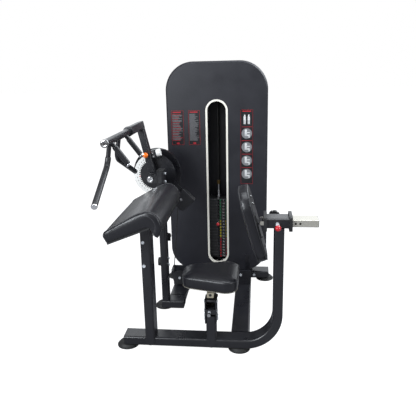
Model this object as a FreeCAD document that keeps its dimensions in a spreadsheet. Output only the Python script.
import FreeCAD, Part
import math
import os
import re
import Sketcher

# Biceps and triceps machine with a weight tower. Millimetres, +Z up. The person sits facing -X,
# the lever turns about Y, and the tower stands behind (+Y). Positions are measured from the floor
# and from the middle of the tower's front face, and the parts are written from the datum point.

SIZES = {
    # Datum: the floor point in the middle of the machine's footprint box
    "datumX": 28.0, "datumY": -520.0,
    # Clearances
    "slideGap": 0.5, "bearingGap": 0.05, "turnGap": 2.0,
    # Base tubes and feet
    "tubeWide": 100.0, "tubeHigh": 50.0, "tubeWall": 3.0, "tubeRound": 10.0, "footHigh": 24.0,
    "footRadius": 59.0, "footBevel": 7.0, "beamFrontY": -875.0, "beamLeftX": -448.0, "postRightX": 392.5,
    "bendOuter": 198.0, "rightTubeX": 123.0, "leftTubeX": -287.0, "leftTubeFrontY": -440.0,
    "outriggerX": -320.0, "jointY": -155.0, "flangeThick": 10.0, "flangeHigh": 144.0, "crossHalf": 340.0,
    "crossY": 55.0, "capThick": 4.0, "footBeamLeftX": -440.0, "footBeamRightX": 168.0,
    "footBeamY": -825.0, "footRearX": 317.0, "footRearY": 113.0, "footSideX": -320.0, "footSideY": -352.0,
    # Bolts
    "boltHead": 8.0, "boltHeadHigh": 6.0, "boltShank": 5.0, "boltSocket": 4.0, "boltSocketDeep": 3.0,
    # Weight tower
    "towerHalf": 325.0, "towerLow": 100.0, "towerHigh": 1500.0, "shellDeep": 104.0, "shellWall": 6.0,
    "shellBevel": 10.0, "shellSeam": 2.0, "shellTopRound": 180.0, "shellLowRound": 165.0,
    "windowHalf": 63.5, "windowLow": 162.0, "windowHigh": 1257.0, "trimHalf": 71.5, "trimInner": 59.5,
    "trimThick": 4.0, "uprightX": 180.0, "uprightWide": 50.0, "uprightY": 75.0, "headZ": 1400.0,
    "stayRadius": 9.0, "stayLowZ": 330.0, "stayHighZ": 1180.0, "rodX": 95.0, "rodRadius": 12.5,
    "rodGap": 1.0, "stackY": 100.0, "plateHalf": 135.0, "plateDeep": 100.0, "plateThick": 21.0,
    "plateEdge": 2.0, "stackLowZ": 178.0, "bufferRadius": 22.0, "liftGap": 0.4, "spineRadius": 11.0,
    "spineGap": 1.5, "pinRadius": 5.0, "pinGap": 0.5, "pinKnobRadius": 11.5, "pinKnobLong": 26.0,
    "pinOut": 2.0, "clampRadius": 16.0, "clampHigh": 26.0, "clampScrew": 7.0, "clampScrewHigh": 42.0,
    "placardThick": 1.5, "placardLow": 976.0, "placardTop": 1199.0, "placardLongLow": 715.0,
    "placardOneX": -294.0, "placardOneWide": 81.0, "placardTwoX": -183.0, "placardTwoWide": 76.0,
    "placardThreeX": 152.0, "placardThreeWide": 80.0, "tabX": 185.0, "tabWide": 31.0, "tabY": -84.0,
    "tabThick": 8.0, "tabHigh": 176.0,
    # Cable and pulleys
    "cableRadius": 3.0, "sheaveRadius": 41.0, "sheaveRim": 46.0, "sheaveThick": 16.0, "sheaveBore": 6.0,
    "grooveGap": 0.3, "cableLowZ": 88.0, "cableFrontY": -200.0, "baseSheaveX": -243.0,
    "topSheaveZ": 1325.0, "cheekThick": 6.0, "cheekGap": 4.0, "bracketHigh": 131.0, "bracketY": -186.0,
    "bridgeY": -140.0, "bridgeWide": 40.0, "bridgeHigh": 30.0,
    # Cam wheel, dial and counterweight
    "axleX": -360.0, "axleZ": 841.0, "axleRadius": 15.0, "axleFrontY": -425.0, "axleRearY": -165.0,
    "axleCapRadius": 18.0, "axleCapThick": 7.0, "wheelRadius": 147.0, "wheelThick": 30.0,
    "wheelHub": 40.0, "dialRadius": 128.0, "dialInner": 88.0, "dialThick": 6.0, "dialFrontY": -286.0,
    "dialRaise": 1.5, "startCircle": 137.0, "startHole": 5.5, "startDeep": 8.0, "leverHalf": 40.0,
    "leverThick": 10.0, "weightNear": 186.0, "weightFar": 286.0, "weightHalf": 55.0, "weightThick": 50.0,
    "weightRound": 26.0, "weightBolt": 223.0, "stopZ": 128.0, "stopRadius": 22.0, "stopLong": 24.0,
    "stopHigh": 46.0, "stopDeep": 36.0,
    # Lever post and axle housing
    "camPostX": -320.0, "camPostWide": 40.0, "camPostY": -440.0, "camPostDeep": 80.0, "camPostTop": 889.0,
    "housingRadius": 27.0, "housingFrontY": -423.0, "housingRearY": -361.0, "housingBolt": 24.0,
    "bumperZ": 464.0, "bumperRadius": 19.0, "bumperLong": 24.0, "padStopZ": 320.0, "padStopRadius": 26.0,
    "padStopLong": 18.0, "padStopPlate": 6.0,
    # Swing arm and handles
    "armLong": 307.6, "armWide": 40.0, "armDeep": 50.0, "armHigh": 46.0, "armFrontY": -345.0,
    "armHubRadius": 33.0, "armHubGrow": 3.0, "armEndY": -600.0, "armWall": 3.0, "armRound": 6.0,
    "collarRadius": 27.0, "collarThick": 8.0, "barRadius": 12.0, "barSpare": 3.0, "barCapRadius": 19.0,
    "barCapThick": 14.0, "sleeveRadius": 18.0, "sleeveLong": 206.0, "sleeveApart": 4.0,
    "gripRadius": 11.0, "gripFoam": 14.0, "gripLong": 146.0, "gripFoamStart": 33.0,
    "gripCapLong": 9.0, "gripFrontIn": 75.0, "gripRearIn": 130.0, "longFrontIn": 68.0,
    "longRearIn": 23.0, "longDrop": 110.0, "longLean": 17.0, "longSpread": 293.0, "longFall": 128.0,
    "longBend": 55.0, "guideRadius": 7.0, "guideRearY": -217.0, "startKnobRadius": 16.0,
    "startStem": 26.0,
    # Arm pad and its post
    "armPostX": -331.0, "armPostTop": 690.0, "postTongue": 44.0, "armPadNearY": -1070.0,
    "armPadFarY": -470.0, "armPadCrown": 12.0, "armPadInset": 9.0, "boardThick": 12.0,
    "padPlateThick": 8.0, "padPlateHalf": 60.0, "padPlateLong": 150.0,
    # Seat
    "seatPostX": -3.0, "seatPostTop": 212.0, "cheekPlate": 6.0, "cheekLow": 170.0, "cheekTop": 303.0,
    "cheekDeep": 74.0, "linkY": -858.0, "linkLowZ": 236.0, "linkRise": 54.0, "linkLong": 110.0,
    "linkThick": 5.0, "linkHalf": 10.0, "linkPin": 5.0, "linkPinHead": 8.0, "linkPinHeadLong": 5.0,
    "carriageWide": 36.0, "carriageHigh": 30.0, "carriageFrontY": -880.0, "carriageRearY": -696.0,
    "lockX": 16.0, "lockZ": 236.0, "lockRadius": 4.0, "lockKnob": 9.0, "lockLong": 24.0,
    "seatLowZ": 371.0, "seatPipeZ": 420.0, "seatTopZ": 443.0, "seatLeftX": -126.0, "seatRightX": 165.0,
    "seatMidY": -797.0, "seatLeftHalf": 87.0, "seatRightHalf": 167.0, "seatRound": 62.0, "seatInset": 8.0,
    "boardInset": 14.0, "webShort": 38.0,
    # Back pad and adjuster
    "holderX": 307.0, "holderLong": 107.0, "holderZ": 693.0, "holderHigh": 50.0, "holderWall": 6.0,
    "slideWall": 4.0, "slideEndX": 555.0, "slideStartX": 297.0, "slidePitch": 22.0, "slideFirstX": 357.5,
    "ringThick": 16.0, "ringGrow": 13.0, "pullReach": 65.0, "pullKnob": 17.0, "pullBarrel": 9.0,
    "pullBarrelLong": 22.0, "starRadius": 30.0, "starThick": 24.0, "starReach": 48.0, "starStem": 6.0,
    "starNotch": 6.0, "pivotX": 281.0, "pivotRadius": 6.0, "pivotLug": 9.0, "backMidY": -772.0,
    "backHalf": 130.0, "backLong": 400.0, "backThick": 52.0, "backBoard": 10.0, "backRound": 108.0,
    "backCrown": 4.0, "backInset": 8.0, "postWide": 50.0, "postY": -880.0, "lockPlateHigh": 28.0,
    "lockBarrel": 8.0, "lockBarrelLong": 12.0, "lockDeep": 7.0, "hubRadius": 14.0, "linkSide": 2.0,
    "openGap": 0.3, "seatPlate": 8.0, "riserDeep": 96.0, "seatPlateWide": 150.0, "bossRadius": 14.0,
    "axleLip": 3.0, "bracketBack": 40.0, "bridgeLift": 10.0, "footBase": 10.0, "capPlug": 14.0,
    "cableSlotHalf": 26.0, "floorGap": 3.0, "floorSlotHigh": 32.0, "plateRound": 4.0,
    "grooveCircle": 143.0, "bumperPlateWide": 54.0, "startGuide": 10.0, "stopArm": 34.0, "stopY": -320.0,
    "sideGap": 1.0, "armPadLeftX": -462.0, "armPadLowZ": 678.0, "armPadLong": 283.0, "armPadHigh": 151.0,
    "armPadLeftInset": 13.0, "padPlateStart": 60.0, "backMidX": 263.5, "backMidZ": 696.5, "pivotEnd": 9.0,
    "pivotReach": 18.0, "pivotShift": 16.0, "hangerLong": 120.0, "hangerThick": 4.0, "starX": 345.0,
    "flangeBoltHalf": 16.0, "flangeBoltZ": 141.0, "beamBoltOut": 20.0, "armBoltIn": 15.5,
    "armBoltHigh": 615.0, "armBoltLow": 487.0, "cheekBoltLow": 183.0, "cheekBoltHigh": 203.0,
    "padBolt": 14.0, "stopBolt": 12.0, "backBoltOne": 137.0, "backBoltTwo": 100.0,
    "backBoltThree": -80.0, "backBoltFour": -133.0,
}

# Angles in degrees, counts and shares, which stay as they are when the machine is scaled
ANGLES = {
    "edgeShare": 0.33, "shoulderShare": 1.5, "seatTopShare": 5.0, "backTopShare": 6.0, "armPadEndShare": 3.0,
    "carriageShare": 0.333, "dropShare": 3.0, "lockBelow": 1, "lockCount": 4,
    "armAngle": 12.8, "weightAngle": -46.0, "dialStartAngle": 95.0, "dialEndAngle": 285.0,
    "startStepAngle": 10.0, "padAngle": 21.2, "backAngle": 15.6, "linkAngle": 20.0, "gripAngle": -53.5,
    "startCount": 12, "lockStepAngle": 10.0, "plateCount": 20, "liftedCount": 8, "slideCount": 6,
    "starCount": 7,
}

# Middle of the handles' crossbar, the near ends of the sleeves on it and its own end
BAR_X = "axleX - armLong * sin(armAngle)"
BAR_Z = "axleZ + armLong * cos(armAngle)"
REAR_SLEEVE = "armEndY - collarThick - sideGap - sleeveLong"
FRONT_SLEEVE = "armEndY - collarThick - sideGap - sleeveApart - 2 * sleeveLong"
BAR_END = FRONT_SLEEVE + " - barSpare"
# Middle of the seat's far link pins
FAR_Y = "linkY + linkLong * cos(linkAngle)"
FAR_LOW = "linkLowZ + linkLong * sin(linkAngle)"
FAR_HIGH = "linkLowZ + linkRise + linkLong * sin(linkAngle)"
CARRIAGE_Z = "linkLowZ + linkRise + linkLong * sin(linkAngle) - carriageHigh * carriageShare"
LINK_MIDDLE = "seatPostX + postWide / 2"
# Middle of the back pad's sleeve and the bar that slides in it
HOLDER_MIDDLE = "holderZ + holderHigh / 2"
BAR_WIDE = "tubeWide - 2 * holderWall - 2 * slideGap"
BAR_HIGH = "holderHigh - 2 * holderWall - 2 * slideGap"
BAR_Y = "beamFrontY + holderWall + slideGap"

doc = FreeCAD.newDocument("BicepsTricepsMachine")
sheet = doc.addObject("Spreadsheet::Sheet", "Sizes")
for row, (alias, value) in enumerate({**SIZES, **ANGLES}.items(), start=1):
    sheet.set("A%d" % row, alias)
    sheet.set("B%d" % row, str(value))
    sheet.setAlias("B%d" % row, alias)
spare = doc.addObject("Spreadsheet::Sheet", "Spare")
doc.recompute()

V = FreeCAD.Vector
# Millimetres within which two positions are the same
NEAR = 1e-3
ALONG = {
    "X": FreeCAD.Rotation(V(1, 1, 1), 120),
    "Y": FreeCAD.Rotation(V(1, 1, 1), 240),
    "Z": FreeCAD.Rotation(),
}
finished = []
brackets = []
fasteners = []


# Reads one driving dimension from the sheet
def size(alias):
    return float(sheet.get(alias))


# Writes a formula in aliases as one that looks them up in the sheet
def inSheet(formula):
    known = SIZES.keys() | ANGLES.keys()
    return re.sub(r"[A-Za-z]\w*", lambda w: "Sizes." + w.group() if w.group() in known else w.group(), formula)


def bind(item, formulas):
    for name, formula in formulas.items():
        item.setExpression(name, inSheet(formula))


def locate(item, corner, turn=None):
    if turn is not None:
        item.Placement = FreeCAD.Placement(V(), turn)
    bind(item, {"Placement.Base." + axis: formula for axis, formula in zip("xyz", corner)})
    return item


# Keeps a sub-part, which is written to a file of its own
def keep(item, label):
    item.Label = label
    finished.append(item)
    return item


def block(sides, corner):
    box = doc.addObject("Part::Box", "Block")
    bind(box, dict(zip(("Length", "Width", "Height"), sides)))
    return locate(box, corner)


def rod(radius, length, start, along="Z"):
    cylinder = doc.addObject("Part::Cylinder", "Rod")
    bind(cylinder, {"Radius": radius, "Height": length})
    return locate(cylinder, start, ALONG[along])


def ball(radius, centre):
    sphere = doc.addObject("Part::Sphere", "Ball")
    bind(sphere, {"Radius": radius})
    return locate(sphere, centre)


def fuse(items, name="Joined"):
    joined = doc.addObject("Part::MultiFuse", name)
    joined.Shapes = items
    joined.Refine = True
    return joined


def cut(base, tools, name="Cut"):
    tool = tools[0] if len(tools) == 1 else fuse(tools, "Tools")
    result = doc.addObject("Part::Cut", name)
    result.Base = base
    result.Tool = tool
    result.Refine = True
    return result


def together(items, name="Set"):
    group = doc.addObject("Part::Compound", name)
    group.Links = items
    return group


# A shape worked out in the code, for forms that features can't give
def formed(shape, name="Formed"):
    item = doc.addObject("Part::Feature", name)
    item.Shape = shape
    return item


def copies(item, offsets, name="Copies"):
    doc.recompute()
    shapes = []
    for offset in offsets:
        shape = item.Shape.copy()
        shape.translate(V(*offset))
        shapes.append(shape)
    return formed(Part.makeCompound(shapes), name)


# Draws a rectangle with rounded corners, its low corner at (x, y); the pairs of low and high
# corners may have different radii
def roundedRectangle(sketch, wide, high, low, top, x, y):
    first = sketch.GeometryCount
    w, h, a, b, px, py = (value(formula) for formula in (wide, high, low, top, x, y))
    ends = [((a, 0), (w - a, 0)), ((w, a), (w, h - b)), ((w - b, h), (b, h)), ((0, h - b), (0, a))]
    arcs = [((w - a, a), a, 270), ((w - b, h - b), b, 0), ((b, h - b), b, 90), ((a, a), a, 180)]
    for start, end in ends:
        sketch.addGeometry(Part.LineSegment(V(start[0] + px, start[1] + py), V(end[0] + px, end[1] + py)))
    for centre, radius, angle in arcs:
        circle = Part.Circle(V(centre[0] + px, centre[1] + py), V(0, 0, 1), radius)
        sketch.addGeometry(Part.ArcOfCircle(circle, math.radians(angle), math.radians(angle + 90)))
    add = sketch.addConstraint
    for side in range(4):
        line, arc, after = first + side, first + 4 + side, first + (side + 1) % 4
        add(Sketcher.Constraint("Tangent", line, 2, arc, 1))
        add(Sketcher.Constraint("Tangent", arc, 2, after, 1))
        add(Sketcher.Constraint("Vertical" if side % 2 else "Horizontal", line))
    add(Sketcher.Constraint("Equal", first + 4, first + 7))
    add(Sketcher.Constraint("Equal", first + 5, first + 6))
    measured = [
        (Sketcher.Constraint("Radius", first + 4, a), low),
        (Sketcher.Constraint("Radius", first + 5, b), top),
        (Sketcher.Constraint("DistanceX", first + 3, 1, first + 1, 1, w), wide),
        (Sketcher.Constraint("DistanceY", first, 1, first + 2, 1, h), high),
    ]
    for number, (constraint, formula) in enumerate(measured):
        index = add(constraint)
        sketch.setExpression("Constraints[%d]" % index, inSheet(formula))
    for kind, line, place, formula in (("DistanceX", first + 3, px, x), ("DistanceY", first, py, y)):
        if formula == "0":
            add(Sketcher.Constraint("PointOnObject", line, 1, -2 if kind == "DistanceX" else -1))
        else:
            index = add(Sketcher.Constraint(kind, -1, 1, line, 1, place))
            sketch.setExpression("Constraints[%d]" % index, inSheet(formula))


# Works out a formula in a spare sheet, which nothing else depends on
def value(formula):
    spare.set("A1", "=" + inSheet(formula))
    spare.recompute()
    return float(spare.get("A1"))


def newBody(name):
    return doc.addObject("PartDesign::Body", name)


def sketchOn(body, plane, name):
    origin = next(f for f in body.Origin.OriginFeatures if getattr(f, "Role", "") == plane)
    sketch = body.newObject("Sketcher::SketchObject", name)
    sketch.AttachmentSupport = [(origin, "")]
    sketch.MapMode = "FlatFace"
    return sketch


def pad(body, sketch, length, backwards=False):
    feature = body.newObject("PartDesign::Pad", "Pad")
    feature.Profile = sketch
    feature.Reversed = backwards
    bind(feature, {"Length": length})
    body.Tip = feature
    return feature


# Rectangular tube with rounded edges, along one axis, from its low corner. Its two sides are
# in the order Y and Z along X, Z and X along Y, X and Y along Z.
def tube(along, first, second, length, corner, wall="tubeWall", edge="tubeRound", name="Tube"):
    body = newBody(name)
    sketch = sketchOn(body, "XY_Plane", "Section")
    roundedRectangle(sketch, first, second, edge, edge, "0", "0")
    inner = "%s - %s" % (edge, wall)
    roundedRectangle(sketch, "%s - 2 * %s" % (first, wall), "%s - 2 * %s" % (second, wall), inner, inner,
                     wall, wall)
    pad(body, sketch, length)
    return locate(body, corner, ALONG[along])


# Wire through corner points, whose inner corners are rounded by the given radii
def roundRoute(points, radii):
    edges = []
    last = points[0]
    for before, corner, after, radius in zip(points, points[1:], points[2:], radii):
        toward = (before - corner).normalize()
        away = (after - corner).normalize()
        half = toward.getAngle(away) / 2
        reach = radius / math.tan(half)
        middle = corner + (toward + away).normalize() * (radius / math.sin(half) - radius)
        enter, leave = corner + toward * reach, corner + away * reach
        if (enter - last).Length > NEAR:
            edges.append(Part.LineSegment(last, enter).toShape())
        edges.append(Part.Arc(enter, middle, leave).toShape())
        last = leave
    edges.append(Part.LineSegment(last, points[-1]).toShape())
    return Part.Wire(edges)


def swept(route, radius):
    start = route.Edges[0].valueAt(route.Edges[0].FirstParameter)
    heading = route.Edges[0].tangentAt(route.Edges[0].FirstParameter)
    section = Part.Wire(Part.Circle(start, heading, radius).toShape())
    return route.makePipeShell([section], True, False)


# Closed outline through corners, each rounded by its own radius, on the plane z = level
def roundedOutline(corners, radii, level):
    edges = []
    count = len(corners)
    joints = []
    for number, (corner, radius) in enumerate(zip(corners, radii)):
        here = V(corner[0], corner[1], level)
        before = V(*corners[number - 1], level)
        after = V(*corners[(number + 1) % count], level)
        toward = (before - here).normalize()
        away = (after - here).normalize()
        half = toward.getAngle(away) / 2
        reach = radius / math.tan(half)
        middle = here + (toward + away).normalize() * (radius / math.sin(half) - radius)
        joints.append((here + toward * reach, middle, here + away * reach))
    for number, (enter, middle, leave) in enumerate(joints):
        edges.append(Part.Arc(enter, middle, leave).toShape())
        edges.append(Part.LineSegment(leave, joints[(number + 1) % count][0]).toShape())
    return Part.Wire(edges)


# Crowned cushion lofted through outlines drawn in by the given amounts at the given levels
def cushion(corners, radius, steps):
    middle = [sum(c[i] for c in corners) / len(corners) for i in (0, 1)]
    wires = []
    for level, inset in steps:
        moved = []
        for x, y in corners:
            reach = math.hypot(x - middle[0], y - middle[1])
            share = 1 - inset * math.sqrt(2) / reach
            moved.append((middle[0] + (x - middle[0]) * share, middle[1] + (y - middle[1]) * share))
        wires.append(roundedOutline(moved, [radius - inset / 2] * len(moved), level))
    return Part.makeLoft(wires, True, True)


# Cutter of a flat-bottomed groove for the cable, whose middle runs on the given circle
def cableGroove(circle, rim, centre, along):
    half = "(cableRadius + grooveGap)"
    low = shift(centre, along, "-" + half)
    return cut(rod(rim + " + cableRadius", "2 * " + half, low, along),
               [rod(circle + " - " + half, "2 * " + half, low, along)])


def sheave(centre, along):
    start = shift(centre, along, "-sheaveThick / 2")
    wheel = rod("sheaveRim", "sheaveThick", start, along)
    bore = rod("sheaveBore + bearingGap", "sheaveThick", start, along)
    return cut(wheel, [cableGroove("sheaveRadius", "sheaveRim", centre, along), bore])


# Point moved by an amount along an axis
def shift(point, along, amount):
    moved = list(point)
    axis = "XYZ".index(along)
    moved[axis] = "%s + (%s)" % (moved[axis], amount)
    return moved


# Places a sub-part drawn around the axle, turned about it from the upright, left over positive
def aroundAxle(item, angle):
    item.Placement = FreeCAD.Placement(V(), FreeCAD.Rotation(V(0, 1, 0), -angle))
    bind(item, {"Placement.Base.x": "axleX", "Placement.Base.z": "axleZ"})
    return item


# Base beam that bends up into the right-hand post
def frontBaseFrame():
    run = tube("X", "tubeWide", "tubeHigh", "postRightX - bendOuter - beamLeftX",
               ("beamLeftX", "beamFrontY", "footHigh"), name="Beam")
    bend = newBody("Bend")
    section = sketchOn(bend, "YZ_Plane", "Section")
    roundedRectangle(section, "tubeWide", "tubeHigh", "tubeRound", "tubeRound", "0", "-bendOuter")
    inside = "tubeRound - tubeWall"
    roundedRectangle(section, "tubeWide - 2 * tubeWall", "tubeHigh - 2 * tubeWall", inside, inside,
                     "tubeWall", "tubeWall - bendOuter")
    turned = bend.newObject("PartDesign::Revolution", "Turned")
    turned.Profile = section
    turned.ReferenceAxis = (section, ["H_Axis"])
    turned.Angle = 90
    turned.Reversed = True
    bend.Tip = turned
    locate(bend, ("postRightX - bendOuter", "beamFrontY", "footHigh + bendOuter"))
    post = tube("Z", "tubeHigh", "tubeWide", "holderZ - footHigh - bendOuter",
                ("postRightX - tubeHigh", "beamFrontY", "footHigh + bendOuter"), name="Post")
    keep(fuse([run, bend, post]), "front_base_frame")


# Upright of the front beam, whose front wall runs down over the beam in a rounded tongue
def beamPost(x, top, name):
    post = tube("Z", "postWide", "tubeWide", "(%s) - footHigh - tubeHigh" % top,
                (x, "postY", "footHigh + tubeHigh"), name=name)
    middle = "%s + postWide / 2" % x
    tongue = block(("postWide", "beamFrontY - postY", "postTongue"),
                   (x, "postY", "footHigh + tubeHigh - postTongue + postWide / 2"))
    bind(tongue, {"Height": "postTongue - postWide / 2"})
    return [post, tongue, rod("postWide / 2", "beamFrontY - postY",
                              (middle, "postY", "footHigh + tubeHigh - postTongue + postWide / 2"), "Y")]


def armPadPost():
    items = beamPost("armPostX", "armPostTop + postWide", "ArmPost")
    start, right, down = armPadBoard()
    under = start + down * (size("boardThick") + size("padPlateThick"))
    level = under.z + math.tan(math.radians(size("padAngle"))) * (size("armPostX") - under.x)
    outline = [V(size("armPostX"), 0, level), V(size("armPostX") + size("postWide"), 0, 0)]
    outline[1].z = level + math.tan(math.radians(size("padAngle"))) * size("postWide")
    above = V(0, 0, size("tubeWide"))
    roof = [outline[0], outline[1], outline[1] + above, outline[0] + above, outline[0]]
    face = Part.Face(Part.makePolygon([V(p.x, size("postY"), p.z) for p in roof]))
    top = formed(face.extrude(V(0, size("tubeWide"), 0)), "PostRoof")
    keep(together([cut(fuse(items), [top]), armPadPlate()]), "arm_pad_post")


def seatPost():
    items = beamPost("seatPostX", "seatPostTop", "SeatPost")
    cheeks = []
    for x in ("seatPostX - cheekPlate", "seatPostX + postWide"):
        cheeks.append(block(("cheekPlate", "cheekDeep", "cheekTop - cheekLow"), (x, "postY", "cheekLow")))
    front = block(("postWide", "cheekPlate", "lockPlateHigh"),
                  ("seatPostX", "postY", "lockZ - lockPlateHigh / 2"))
    hole = rod("lockRadius + pinGap", "cheekPlate", ("lockX", "postY", "lockZ"), "Y")
    holes = [rod("linkPin", "postWide + 2 * cheekPlate", ("seatPostX - cheekPlate", "linkY", z), "X")
             for z in ("linkLowZ", "linkLowZ + linkRise")]
    keep(cut(fuse(items + cheeks + [front]), [hole] + holes), "seat_post")


def baseTubes():
    flange = ("tubeWide", "flangeThick", "flangeHigh")
    low = "jointY - flangeThick"
    right = tube("Y", "tubeHigh", "tubeWide", "jointY - flangeThick - beamFrontY - tubeWide",
                 ("rightTubeX", "beamFrontY + tubeWide", "footHigh"), name="RightTube")
    keep(fuse([right, block(flange, ("rightTubeX", low, "footHigh"))]), "right_base_tube")
    outrigger = tube("X", "tubeWide", "tubeHigh", "leftTubeX + tubeWide - outriggerX",
                     ("outriggerX", "leftTubeFrontY", "footHigh"), name="Outrigger")
    left = tube("Y", "tubeHigh", "tubeWide", "jointY - flangeThick - leftTubeFrontY - tubeWide",
                ("leftTubeX", "leftTubeFrontY + tubeWide", "footHigh"), name="LeftTube")
    plate = block(("tubeWide", "cheekThick", "bracketHigh"), ("leftTubeX", "bracketY", "footHigh + tubeHigh"))
    beside, centre = "sheaveThick / 2 + slideGap", ("baseSheaveX", "cableFrontY", "cableLowZ + sheaveRadius")
    pin = rod("sheaveBore", "2 * (%s)" % beside, shift(centre, "Y", "-(%s)" % beside), "Y")
    head = rod("boltHead", "boltHeadHigh", shift(centre, "Y", "-(%s) - boltHeadHigh" % beside), "Y")
    boss = rod("bossRadius", "bracketY - cableFrontY - (%s)" % beside, shift(centre, "Y", beside), "Y")
    keep(fuse([outrigger, left, block(flange, ("leftTubeX", low, "footHigh"))]), "left_base_tube")
    brackets.append(fuse([plate, boss]))
    fasteners.append(fuse([pin, head]))


def rearBaseFrame():
    across = tube("X", "tubeWide", "tubeHigh", "2 * crossHalf", ("-crossHalf", "crossY", "footHigh"),
                  name="Crossmember")
    items = [across]
    for x in ("leftTubeX", "rightTubeX"):
        items.append(tube("Y", "tubeHigh", "tubeWide", "crossY - jointY - flangeThick",
                          (x, "jointY + flangeThick", "footHigh"), name="Stub"))
        items.append(block(("tubeWide", "flangeThick", "flangeHigh"), (x, "jointY", "footHigh")))
    items.append(tube("X", "bridgeWide", "bridgeHigh", "rightTubeX - leftTubeX - tubeWide",
                      ("leftTubeX + tubeWide", "bridgeY", "footHigh + bridgeLift"), name="Bridge"))
    tabTop = "footHigh + tubeHigh + tabHigh"
    tab = cut(block(("tabWide", "tabThick", "tabHigh"), ("tabX", "tabY", "footHigh + tubeHigh")), [
        rod("boltShank", "tabThick",
            ("tabX + tabWide / 2", "tabY", "%s - tabWide * (%d + 1 / 2)" % (tabTop, n)), "Y")
        for n in (0, 1)])
    keep(together([fuse(items), tab]), "rear_base_frame")


def rubberFeet():
    spots = [("footBeamLeftX", "footBeamY"), ("footBeamRightX", "footBeamY"), ("footSideX", "footSideY"),
             ("-footRearX", "footRearY"), ("footRearX", "footRearY")]
    feet = []
    for x, y in spots:
        disc = rod("footRadius", "footBase", (x, y, "0"))
        step = doc.addObject("Part::Cone", "Step")
        bind(step, {"Radius1": "footRadius - footBevel", "Radius2": "footRadius - 2 * footBevel",
                    "Height": "footHigh - footBase"})
        locate(step, (x, y, "footBase"))
        feet.append(fuse([disc, step]))
    keep(together(feet), "rubber_feet")


# Push-in caps of the open tube ends
def tubeCaps():
    inside = "- tubeWall - slideGap"
    caps = []
    for x, tip, y in (("beamLeftX", -1, "beamFrontY"), ("-crossHalf", -1, "crossY"),
                      ("crossHalf", 1, "crossY"), ("outriggerX", -1, "leftTubeFrontY")):
        body = newBody("Cap")
        sketch = sketchOn(body, "XY_Plane", "Edge")
        roundedRectangle(sketch, "tubeWide", "tubeHigh", "tubeRound", "tubeRound", "0", "0")
        pad(body, sketch, "capThick")
        start = "%s - capThick" % x if tip < 0 else x
        locate(body, (start, y, "footHigh"), ALONG["X"])
        inner = x if tip < 0 else x + " - capPlug"
        plug = block(("capPlug", "tubeWide - 2 * tubeRound", "tubeHigh - 2 * tubeRound"),
                     (inner, y + " + tubeRound", "footHigh + tubeRound"))
        caps.append(fuse([body, plug]))
    body = newBody("PostCap")
    sketch = sketchOn(body, "XY_Plane", "Edge")
    roundedRectangle(sketch, "camPostWide", "camPostDeep", "tubeRound", "tubeRound", "0", "0")
    pad(body, sketch, "capThick")
    caps.append(locate(body, ("camPostX", "camPostY", "camPostTop")))
    keep(together(caps), "tube_caps")


def towerFrame():
    items = []
    for side in ("-1", "1"):
        x = "-uprightX - uprightWide" if side == "-1" else "uprightX"
        items.append(tube("Z", "uprightWide", "uprightWide", "headZ - footHigh - tubeHigh",
                          (x, "uprightY", "footHigh + tubeHigh"), edge="armRound", name="Upright"))
        for z in ("stayLowZ", "stayHighZ"):
            middle = "%s * (uprightX + uprightWide / 2)" % side
            items.append(rod("stayRadius", "uprightY - shellWall", (middle, "shellWall", z), "Y"))
            items.append(rod("stayRadius", "2 * shellDeep - shellWall - uprightY - uprightWide",
                             (middle, "uprightY + uprightWide", z), "Y"))
    items.append(tube("X", "uprightWide", "uprightWide", "2 * (uprightX + uprightWide)",
                      ("-uprightX - uprightWide", "uprightY", "headZ"), edge="armRound", name="HeadBeam"))
    keep(fuse(items), "tower_frame")
    for centre, low, high in (
            ("topSheaveZ", "topSheaveZ - bossRadius * 2", "headZ"),
            ("cableLowZ + sheaveRadius", "footHigh + tubeHigh", "cableLowZ + sheaveRadius + bossRadius * 2")):
        near = "stackY + sheaveRadius - bracketBack"
        plates = [block(("cheekThick", "2 * bracketBack", "(%s) - (%s)" % (high, low)), (x, near, low))
                  for x in ("sheaveThick / 2 + cheekGap", "-sheaveThick / 2 - cheekGap - cheekThick")]
        pin = rod("sheaveBore", "sheaveThick + 2 * cheekGap + 4 * cheekThick",
                  ("-sheaveThick / 2 - cheekGap - 2 * cheekThick", "stackY + sheaveRadius", centre), "X")
        brackets.append(fuse(plates + [pin]))
    base = rod("bossRadius", "cableLowZ - sheaveThick / 2 - slideGap - footHigh - bridgeLift - bridgeHigh",
               ("-sheaveRadius", "cableFrontY + sheaveRadius", "footHigh + bridgeLift + bridgeHigh"))
    post = rod("sheaveBore", "sheaveThick + 2 * slideGap + axleLip",
               ("-sheaveRadius", "cableFrontY + sheaveRadius", "cableLowZ - sheaveThick / 2 - slideGap"))
    lip = rod("bossRadius", "axleLip",
              ("-sheaveRadius", "cableFrontY + sheaveRadius", "cableLowZ + sheaveThick / 2 + slideGap"))
    keep(together(brackets + [fuse([base, post, lip])]), "pulley_brackets")


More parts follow.
